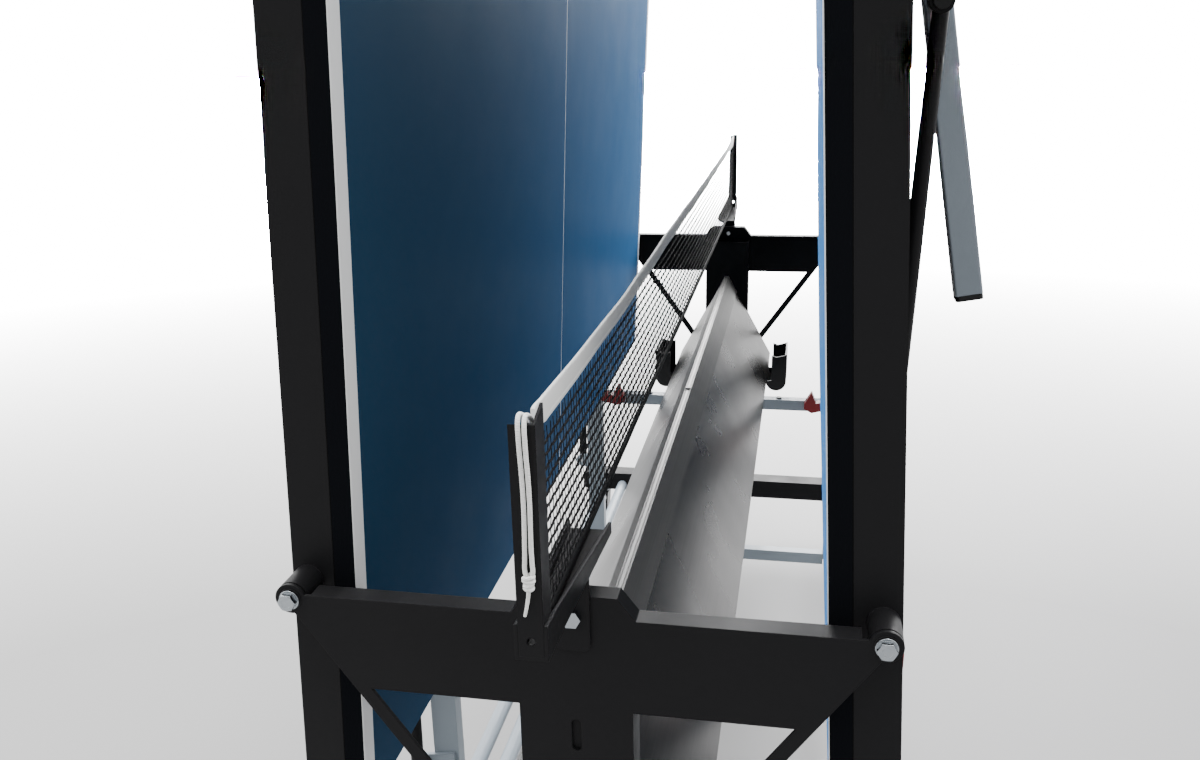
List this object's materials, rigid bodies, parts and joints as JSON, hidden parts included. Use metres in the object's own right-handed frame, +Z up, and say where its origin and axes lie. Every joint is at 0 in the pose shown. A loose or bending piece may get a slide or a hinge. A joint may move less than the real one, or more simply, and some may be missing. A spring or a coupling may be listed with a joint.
{
  "type": "ping pong table",
  "caption": "Folding table tennis table stored upright: two hinged half tables, leg frames with stays, lock levers, rolling undercarriage and a net that stays up.",
  "frame": {"origin": "on the floor, under the middle of the net, in the storage pose", "axes": "+X along the playing direction towards the right half, +Y along the net towards its far post, +Z up"},
  "size_m": [0.654, 1.8362, 1.8622],
  "materials": {
    "playing_board": "matte blue coated board with white border lines and black edges",
    "black_steel": "satin black powder coat",
    "grey_steel": "blue-grey powder coat",
    "silver_sheet": "brushed, clear-anodised sheet",
    "zinc_steel": "bright zinc plated",
    "black_screws": "blackened screw heads",
    "castor_steel": "black coated pressed steel",
    "castor_tyre": "dark grey rubber tread",
    "black_plastic": "black moulded plastic",
    "red_plastic": "red moulded plastic",
    "net_cord": "black knotless netting",
    "white_tape": "white woven tape",
    "white_cord": "white braided cord"
  },
  "bodies": {
    "chassis": {"ball_holders": "black_plastic", "beam_screws": "black_screws", "beam_strip": "silver_sheet", "castor_bearings": "zinc_steel", "centre_beam": "silver_sheet", "end_plate_far": "black_steel", "end_plate_near": "black_steel", "frame_screws": "black_screws", "hinge_bushes": "black_plastic", "lower_rails": "grey_steel", "net": "net_cord", "net_arm_far": "black_steel", "net_arm_near": "black_steel", "net_bolts": "zinc_steel", "net_post_far": "black_steel", "net_post_near": "black_steel", "net_tape": "white_tape", "pivot_pins": "zinc_steel", "portal_far": "grey_steel", "portal_near": "grey_steel", "stand_far": "black_steel", "stand_near": "black_steel", "tension_cord": "white_cord", "tube_plugs": "black_plastic"},
    "half_left": {"apron_left": "black_steel", "board_left": "playing_board", "pivot_bolts_left": "zinc_steel", "underframe_left": "black_steel"},
    "half_right": {"apron_right": "black_steel", "board_right": "playing_board", "pivot_bolts_right": "zinc_steel", "underframe_right": "black_steel"},
    "brake_far_right": {"castor_brake_far_right": "red_plastic"},
    "brake_near_left": {"castor_brake_near_left": "red_plastic"},
    "castor_far_left": {"castor_fork_far_left": "castor_steel"},
    "castor_far_right": {"castor_fork_far_right": "castor_steel"},
    "castor_near_left": {"castor_fork_near_left": "castor_steel"},
    "castor_near_right": {"castor_fork_near_right": "castor_steel"},
    "wheel_far_left": {"castor_hub_far_left": "black_plastic", "castor_tyre_far_left": "castor_tyre"},
    "wheel_far_right": {"castor_hub_far_right": "black_plastic", "castor_tyre_far_right": "castor_tyre"},
    "wheel_near_left": {"castor_hub_near_left": "black_plastic", "castor_tyre_near_left": "castor_tyre"},
    "wheel_near_right": {"castor_hub_near_right": "black_plastic", "castor_tyre_near_right": "castor_tyre"},
    "legs_left": {"leg_frame_left": "grey_steel"},
    "legs_right": {"leg_frame_right": "grey_steel"},
    "level_foot_left_far": {"level_foot_left_far": "black_plastic"},
    "level_foot_left_near": {"level_foot_left_near": "black_plastic"},
    "level_foot_right_far": {"level_foot_right_far": "black_plastic"},
    "level_foot_right_near": {"level_foot_right_near": "black_plastic"},
    "lock_lever_far_left": {"lock_lever_far_left": "red_plastic"},
    "lock_lever_far_right": {"lock_lever_far_right": "red_plastic"},
    "lock_lever_near_left": {"lock_lever_near_left": "red_plastic"},
    "lock_lever_near_right": {"lock_lever_near_right": "red_plastic"},
    "stays_left": {"stay_bolts_left": "black_screws", "stay_links_left": "black_steel"},
    "stays_right": {"stay_bolts_right": "black_screws", "stay_links_right": "black_steel"}
  },
  "joints": [
    {"name": "fold_left", "type": "hinge", "parent": "chassis", "child": "half_left", "pos_m": [-0.229, 0, 0.719], "axis": [0, -1, 0], "range_deg": [0, 92.9]},
    {"name": "leg_left", "type": "hinge", "parent": "half_left", "child": "legs_left", "pos_m": [-0.18797, 0, 1.59805], "axis": [0, 1, 0], "range_deg": [0, 82.7]},
    {"name": "stay_left", "type": "hinge", "parent": "chassis", "child": "stays_left", "pos_m": [-0.266, 0, 0.31586], "axis": [0, -1, 0], "range_deg": [0, 93.03]},
    {"name": "level_left_near", "type": "slide", "parent": "legs_left", "child": "level_foot_left_near", "axis": [-0.1771, 0, -0.9842], "range_m": [0, 0.012]},
    {"name": "level_left_far", "type": "slide", "parent": "legs_left", "child": "level_foot_left_far", "axis": [-0.1771, 0, -0.9842], "range_m": [0, 0.012]},
    {"name": "fold_right", "type": "hinge", "parent": "chassis", "child": "half_right", "pos_m": [0.229, 0, 0.719], "axis": [0, 1, 0], "range_deg": [0, 92.9]},
    {"name": "leg_right", "type": "hinge", "parent": "half_right", "child": "legs_right", "pos_m": [0.18797, 0, 1.59805], "axis": [0, -1, 0], "range_deg": [0, 82.7]},
    {"name": "stay_right", "type": "hinge", "parent": "chassis", "child": "stays_right", "pos_m": [0.266, 0, 0.31586], "axis": [0, 1, 0], "range_deg": [0, 93.03]},
    {"name": "level_right_near", "type": "slide", "parent": "legs_right", "child": "level_foot_right_near", "axis": [0.1771, 0, -0.9842], "range_m": [0, 0.012]},
    {"name": "level_right_far", "type": "slide", "parent": "legs_right", "child": "level_foot_right_far", "axis": [0.1771, 0, -0.9842], "range_m": [0, 0.012]},
    {"name": "lever_near_left", "type": "hinge", "parent": "chassis", "child": "lock_lever_near_left", "pos_m": [-0.262, -0.4455, 0.459], "axis": [0, -1, 0], "range_deg": [0, 14.5]},
    {"name": "swivel_near_left", "type": "hinge", "parent": "chassis", "child": "castor_near_left", "pos_m": [-0.29, -0.78, 0.122], "axis": [0, 0, 1], "continuous": true},
    {"name": "roll_near_left", "type": "hinge", "parent": "castor_near_left", "child": "wheel_near_left", "pos_m": [-0.29, -0.81, 0.05], "axis": [1, 0, 0], "continuous": true},
    {"name": "brake_near_left", "type": "hinge", "parent": "castor_near_left", "child": "brake_near_left", "pos_m": [-0.29, -0.846, 0.106], "axis": [1, 0, 0], "range_deg": [0, 12]},
    {"name": "lever_near_right", "type": "hinge", "parent": "chassis", "child": "lock_lever_near_right", "pos_m": [0.262, -0.4455, 0.459], "axis": [0, 1, 0], "range_deg": [0, 14.5]},
    {"name": "swivel_near_right", "type": "hinge", "parent": "chassis", "child": "castor_near_right", "pos_m": [0.29, -0.78, 0.122], "axis": [0, 0, 1], "continuous": true},
    {"name": "roll_near_right", "type": "hinge", "parent": "castor_near_right", "child": "wheel_near_right", "pos_m": [0.29, -0.81, 0.05], "axis": [1, 0, 0], "continuous": true},
    {"name": "lever_far_left", "type": "hinge", "parent": "chassis", "child": "lock_lever_far_left", "pos_m": [-0.262, 0.4455, 0.459], "axis": [0, -1, 0], "range_deg": [0, 14.5]},
    {"name": "swivel_far_left", "type": "hinge", "parent": "chassis", "child": "castor_far_left", "pos_m": [-0.29, 0.78, 0.122], "axis": [0, 0, 1], "continuous": true},
    {"name": "roll_far_left", "type": "hinge", "parent": "castor_far_left", "child": "wheel_far_left", "pos_m": [-0.29, 0.75, 0.05], "axis": [1, 0, 0], "continuous": true},
    {"name": "lever_far_right", "type": "hinge", "parent": "chassis", "child": "lock_lever_far_right", "pos_m": [0.262, 0.4455, 0.459], "axis": [0, 1, 0], "range_deg": [0, 14.5]},
    {"name": "swivel_far_right", "type": "hinge", "parent": "chassis", "child": "castor_far_right", "pos_m": [0.29, 0.78, 0.122], "axis": [0, 0, 1], "continuous": true},
    {"name": "roll_far_right", "type": "hinge", "parent": "castor_far_right", "child": "wheel_far_right", "pos_m": [0.29, 0.75, 0.05], "axis": [1, 0, 0], "continuous": true},
    {"name": "brake_far_right", "type": "hinge", "parent": "castor_far_right", "child": "brake_far_right", "pos_m": [0.29, 0.714, 0.106], "axis": [1, 0, 0], "range_deg": [0, 12]}
  ],
  "couplings": [
    {"joint": "leg_left", "follows": "fold_left", "ratio": 0.8902},
    {"joint": "stay_left", "follows": "fold_left", "ratio": 1.0014},
    {"joint": "leg_right", "follows": "fold_right", "ratio": 0.8902},
    {"joint": "stay_right", "follows": "fold_right", "ratio": 1.0014}
  ]
}
